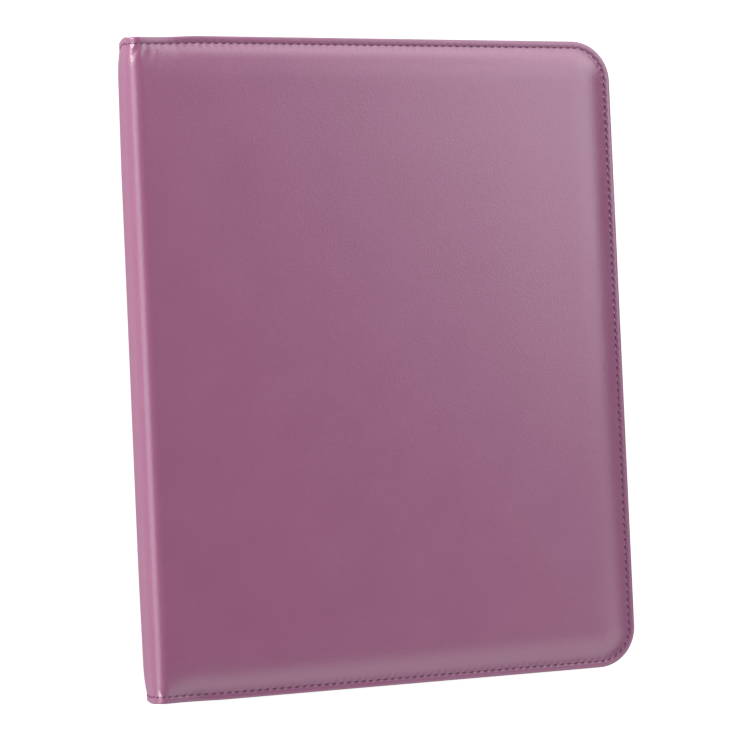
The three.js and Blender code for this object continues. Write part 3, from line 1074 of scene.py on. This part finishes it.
def pocketSheet(shape, full, side):
    left, right, bottom, top = shape["left"], shape["right"], shape["bottom"], shape["mouthLeft"]
    extra = [pocket["rings"][-1] + pocket["step"] * (k + 1) for k in range(pocket["cornerLines"])]
    columns = gridLines(left, right, pocket["rings"], pocket["fieldStep"]) + [right - inset for inset in extra]
    rows = gridLines(bottom, top, pocket["rings"], pocket["fieldStep"]) + [bottom + inset for inset in extra]
    bm = lineSheet(left, right, bottom, top, columns, rows)
    for vert in bm.verts:
        x, y = vert.co.x, vert.co.y
        vert.co.y += (mouthHeight(shape, x) - top) * min(1, (y - bottom) / (top - bottom) / pocket["slantFrom"])
        vert.co.z = coverInside + pocketLift(shape, full, x, vert.co.y)
    small = pocket["smallCorner"]
    roundCorner(bm, (right, bottom), (1, -1), cloth["corner"])
    roundCorner(bm, (left, bottom), (-1, -1), small)
    roundCorner(bm, (left, top), (-1, 1), small)
    roundCorner(bm, (right, shape["mouthRight"]), (1, 1), small)
    placeInside(bm, side)
    return bm


# Takes heights above the outer face of a cover to the closed folder, with the faces towards the pad
def placeInside(bm, side):
    if side == "front":
        for vert in bm.verts:
            vert.co.z = folder["thickness"] - vert.co.z
        bmesh.ops.reverse_faces(bm, faces=bm.faces)
    bm.normal_update()


bodyOf = {"front": "front_cover", "back": "back_cover"}


def makePocket(name, shape, node, side):
    low, high = boxes[node]
    face = high.z if side == "back" else folder["thickness"] - low.z
    bm = pocketSheet(shape, face - coverInside, side)
    piece = newPiece(name, bm, "inner_leatherette")
    thicken(piece, pocket["thickness"])
    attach(piece, bodyOf[side])
    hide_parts(node)
    first = (shape["left"] + pocket["mouthRow"], shape["mouthLeft"] - pocket["hemSeam"])
    last = (shape["right"] - pocket["mouthRow"], shape["mouthRight"] - pocket["hemSeam"])
    addRow(name + "_mouth_stitches", rowPlaces(first, last, face + pocket["hemLift"]), side)
    x = shape["left"] + pocket["seam"]
    first = (x, shape["bottom"] + pocket["sideRow"][0])
    last = (x, shape["mouthLeft"] - pocket["sideRow"][1])
    addRow(name + "_side_stitches", rowPlaces(first, last, coverInside + pocket["rimLift"]), side)


def addRow(name, places, side):
    bm = stitchBeads(places)
    placeInside(bm, side)
    piece = newPiece(name, bm, "thread")
    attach(piece, bodyOf[side])


makePocket("sleeve_pocket", sleeveShape, "pad_sleeve", "back")
makePocket("paper_pocket", documentShape, "document_pocket", "front")


# The thread of the lining lies on the lining, or on the rim of the pocket sewn in with it
def threadHeight(shape):
    def height(point):
        x = point.x - folder["spineHalf"] - folder["foldLength"] + folder["foldX"]
        onPocket = x > shape["left"] and point.y < mouthHeight(shape, x)
        return coverInside + (pocket["rimLift"] if onPocket else cloth["threadLift"])
    return height


def inFold(point):
    gap, start = stitch["foldGap"], folder["spineHalf"]
    return start - gap < point.x < start + folder["foldLength"] + gap


foldedStitches("front_lining_stitches", "front", clothPath, threadHeight(documentShape),
               ["front_cover_lining_thread", "spine_lining_thread_top", "spine_lining_thread_bottom"],
               inFold)
foldedStitches("back_lining_stitches", "back", clothPath, threadHeight(sleeveShape),
               ["back_cover_lining_thread"], inFold)

print("stage 6: card slots, window and pen loop")

card = {
    "thickness": 0.0005,
    "sink": 0.0001,  # under the outer face of the solid
    "corner": 0.003,
    "edgeDrop": 0.00018,
    "edgeReach": 0.0007,
    "seam": 0.0018,
    "seamDip": 0.00010,
    "seamReach": 0.0005,
    "hem": 0.006,
    "hemLift": 0.00010,
    "hemEase": 0.0006,
    "hemSeam": 0.0048,
    "belly": 0.00015,
    "bellyInset": 0.002,
    "bellyReach": 0.02,
    "borderLift": 0.00025,
    "borderReach": 0.0022,
    "holeFade": 0.004,
    "pitch": 0.0032,
    "rowGap": 0.001,  # from each end of a row to the corner of the seam
    "hemRow": 0.003,
    "threadLift": 0.00005,
    "step": 0.009,
    "rings": (0.0002, 0.0006, 0.0010, 0.0014, 0.0018, 0.0023, 0.0030, 0.0040, 0.0050, 0.0056, 0.0062, 0.0080),
    "borderRings": (0.0002, 0.0006, 0.0010, 0.0014, 0.0018, 0.0024, 0.0034, 0.0045, 0.0056, 0.0066, 0.0072, 0.0077,
                    0.0084, 0.0088, 0.0090, 0.0096, 0.0103, 0.0111, 0.0120),
}


# How far a panel is pressed in near a cut edge and at the seam beside it
def pressedIn(inset):
    edge = card["edgeDrop"] * (1 - smooth(inset / card["edgeReach"]))
    return edge + card["seamDip"] * bell(inset - card["seam"], card["seamReach"])


# A small leather panel with round corners, pressed down at its seams; the hem is at its upper edge
def makePanel(name, node, border=None):
    low, high = boxes[node]
    face = folder["thickness"] - low.z
    middle = (low + high) / 2
    half = (high - low) / 2
    rings = card["rings"] if border is None else card["borderRings"]
    bm = lineSheet(-half.x, half.x, -half.y, half.y, gridLines(-half.x, half.x, rings, card["step"]),
                   gridLines(-half.y, half.y, rings, card["step"]))
    if border is not None:
        inner = [f for f in bm.faces if abs(f.calc_center_median().x) < half.x - border
                 and abs(f.calc_center_median().y) < half.y - border]
        bmesh.ops.delete(bm, geom=inner, context="FACES")
    for vert in bm.verts:
        x, y = vert.co.x, vert.co.y
        inset = min(half.x - abs(x), half.y - abs(y))
        lift = -pressedIn(inset)
        if border is None:
            lift += card["hemLift"] * smooth((card["hem"] - (half.y - y)) / card["hemEase"])
            lift += card["belly"] * smooth((inset - card["bellyInset"]) / card["bellyReach"])
        else:
            lift += card["borderLift"] * bell(inset - border / 2, card["borderReach"]) - pressedIn(border - inset)
        vert.co.z = face - card["sink"] + lift
    for way in ((1, 1), (-1, 1), (-1, -1), (1, -1)):
        roundCorner(bm, (half.x * way[0], half.y * way[1]), way, card["corner"])
        if border is not None:
            hole = ((half.x - border) * way[0], (half.y - border) * way[1])
            roundCorner(bm, hole, way, card["corner"], fade=card["holeFade"])
    bmesh.ops.translate(bm, vec=(middle.x, middle.y, 0), verts=bm.verts)
    placeInside(bm, "front")
    piece = newPiece(name, bm, "inner_leatherette")
    thicken(piece, card["thickness"])
    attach(piece, "front_cover")
    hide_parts(node)
    places = []
    centre = Vector((middle.x, middle.y))
    insets = (card["seam"],) if border is None else (card["seam"], border - card["seam"])
    for inset in insets:
        x, y = half.x - inset, half.y - inset
        corners = [Vector(corner) for corner in ((-x, y), (-x, -y), (x, -y), (x, y), (-x, y))]
        for first, last in zip(corners, corners[1:]):
            gap = (last - first).normalized() * card["rowGap"]
            places += rowPlaces(centre + first + gap, centre + last - gap, face - card["threadLift"], card["pitch"])
    if border is None:
        y = high.y - card["hemSeam"]
        first, last = (low.x + card["hemRow"], y), (high.x - card["hemRow"], y)
        places += rowPlaces(first, last, face + card["threadLift"], card["pitch"])
    addRow(name + "_stitches", places, "front")


for slot in (1, 2, 3):
    makePanel(f"card_pocket_{slot}", f"card_slot_{slot}")
makePanel("window_border", "window_frame", border=0.009)

penLoop = {
    "thickness": 0.0009,
    "crown": 0.0045,  # radius of its upper corners
    "waist": 0.0006,  # how far the sides draw in above the lining
    "wave": 0.00012,
    "seam": 0.0022,
    "rowIn": 0.0035,
    "pitch": 0.0030,
    "softEdge": 0.0002,
    "softSegments": 2,
    "across": 26,
    "along": 10,
}


# Turns all faces the same way, with the highest one upwards
def faceUp(bm):
    bmesh.ops.recalc_face_normals(bm, faces=bm.faces)
    bm.normal_update()
    if max(bm.faces, key=lambda face: face.calc_center_median().z).normal.z < 0:
        bmesh.ops.reverse_faces(bm, faces=bm.faces)


# Follows a bent strip to a share of its whole length: straight lengths, with a quarter turn between each two.
# The first length runs the given way and the strip turns to the given side.
def alongStrip(start, way, side, lengths, radius, share):
    point, way, side = Vector(start), Vector(way), Vector(side)
    arc = radius * math.pi / 2
    s = share * (sum(lengths) + arc * (len(lengths) - 1))
    for length in lengths:
        if s < length + tiny:
            break
        point, s = point + way * length, s - length
        if s < arc:
            angle = s / radius
            return point + (way * math.sin(angle) + side * (1 - math.cos(angle))) * radius
        point, s = point + (way + side) * radius, s - arc
        way, side = side, -way
    return point + way * s


# The loop starts as a flat strip that is bent into an arch
def makePenLoop():
    low, high = boxes["pen_loop"]
    half, height, crown = (high.x - low.x) / 2, high.z - low.z, penLoop["crown"]
    lengths = (height - crown, 2 * (half - crown), height - crown)
    bm = newGrid(penLoop["across"], penLoop["along"])
    for vert in bm.verts:
        x, z = alongStrip((-half, 0), (0, 1), (1, 0), lengths, crown, (vert.co.x + 1) / 2)
        x -= math.copysign(penLoop["waist"] * math.sin(math.pi * min(z / lengths[0], 1)), x)
        y = low.y + (vert.co.y + 1) / 2 * (high.y - low.y)
        z -= penLoop["wave"] * (1 - abs(vert.co.y)) * (z / height)
        vert.co = ((low.x + high.x) / 2 + x, y, low.z + z)
    faceUp(bm)
    piece = newPiece("pen_holder", bm, "inner_leatherette")
    thicken(piece, penLoop["thickness"])
    rounding = piece.modifiers.new("soft edge", "BEVEL")
    rounding.width = penLoop["softEdge"]
    rounding.segments = penLoop["softSegments"]
    rounding.limit_method = "ANGLE"
    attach(piece, "back_cover")
    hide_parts("pen_loop")
    places = []
    for y in (low.y + penLoop["seam"], high.y - penLoop["seam"]):
        first, last = (low.x + penLoop["rowIn"], y), (high.x - penLoop["rowIn"], y)
        places += rowPlaces(first, last, high.z, penLoop["pitch"])
    addRow("pen_holder_stitches", places, "back")


makePenLoop()

print("stage 7: writing pad")

# The block of sheets is drawn as a few layers, each a little shifted
sheaf = {
    "layers": 16,
    "shift": 0.00012,
    "shiftWaves": ((2.4, 0, 1), (1.7, 1, 0.6)),  # across and along: turn for each layer, start and share
    "gap": 0.00002,
    "trim": (0.0004, 0.0003),
    "corner": 0.0012,
    "cornerSegments": 3,
    "sharpAngle": 40,
}


def makeSheets():
    low, high = boxes["pad_sheets"]
    layers = sheaf["layers"]
    step = (high.z - low.z) / layers
    size = (high.x - low.x - sheaf["trim"][0], high.y - low.y - sheaf["trim"][1], step - sheaf["gap"], 1)
    stacks = (("writing_sheets", "paper", range(layers - 1)), ("top_sheet", "ruled paper", [layers - 1]))
    for name, finish, numbers in stacks:
        bm = bmesh.new()
        for k in numbers:
            across, along = (share * math.sin(k * turn + start) for turn, start, share in sheaf["shiftWaves"])
            middle = Vector(((low.x + high.x) / 2, (low.y + high.y) / 2, low.z + (k + 0.5) * step))
            middle += Vector((across, along, 0)) * sheaf["shift"]
            made = bmesh.ops.create_cube(bm, size=1, matrix=Matrix.Translation(middle) @ Matrix.Diagonal(size))
            edges = {e for v in made["verts"] for e in v.link_edges}
            upright = [e for e in edges if abs(e.verts[0].co.z - e.verts[1].co.z) > tiny]
            bmesh.ops.bevel(bm, geom=upright, offset=sheaf["corner"], affect="EDGES",
                            segments=sheaf["cornerSegments"], profile=0.5, material=-1)
        piece = newPiece(name, bm, "paper", finish)
        piece.data.set_sharp_from_angle(angle=math.radians(sheaf["sharpAngle"]))
        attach(piece, "writing_pad")
        if name == "writing_sheets":
            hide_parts("pad_sheets")


makeSheets()

tape = {"thickness": 0.00022, "corner": 0.0007, "across": 54, "along": 48}


# The tape starts as a flat strip and is folded over the head of the pad
def makeTape():
    low, high = boxes["pad_tape"]
    corner = tape["corner"]
    under, rise = high.y - low.y - corner, high.z - low.z - 2 * corner
    bm = newGrid(tape["across"], tape["along"])
    for vert in bm.verts:
        y, z = alongStrip((low.y, low.z), (1, 0), (0, 1), (under, rise, under), corner, (vert.co.y + 1) / 2)
        vert.co = (vert.co.x * (high.x - low.x) / 2 + (low.x + high.x) / 2, y, z)
    faceUp(bm)
    piece = newPiece("head_tape", bm, "binding_tape")
    thicken(piece, tape["thickness"])
    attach(piece, "writing_pad")
    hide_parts("pad_tape")


makeTape()

slots = {part["node"]: part["material_slot"] for part in frame["record"]["subparts"]}
for name, node in frame["nodes"].items():
    node.data.materials.clear()
    node.data.materials.append(finishes[slots[name]])

scene.view_settings.view_transform = "Standard"
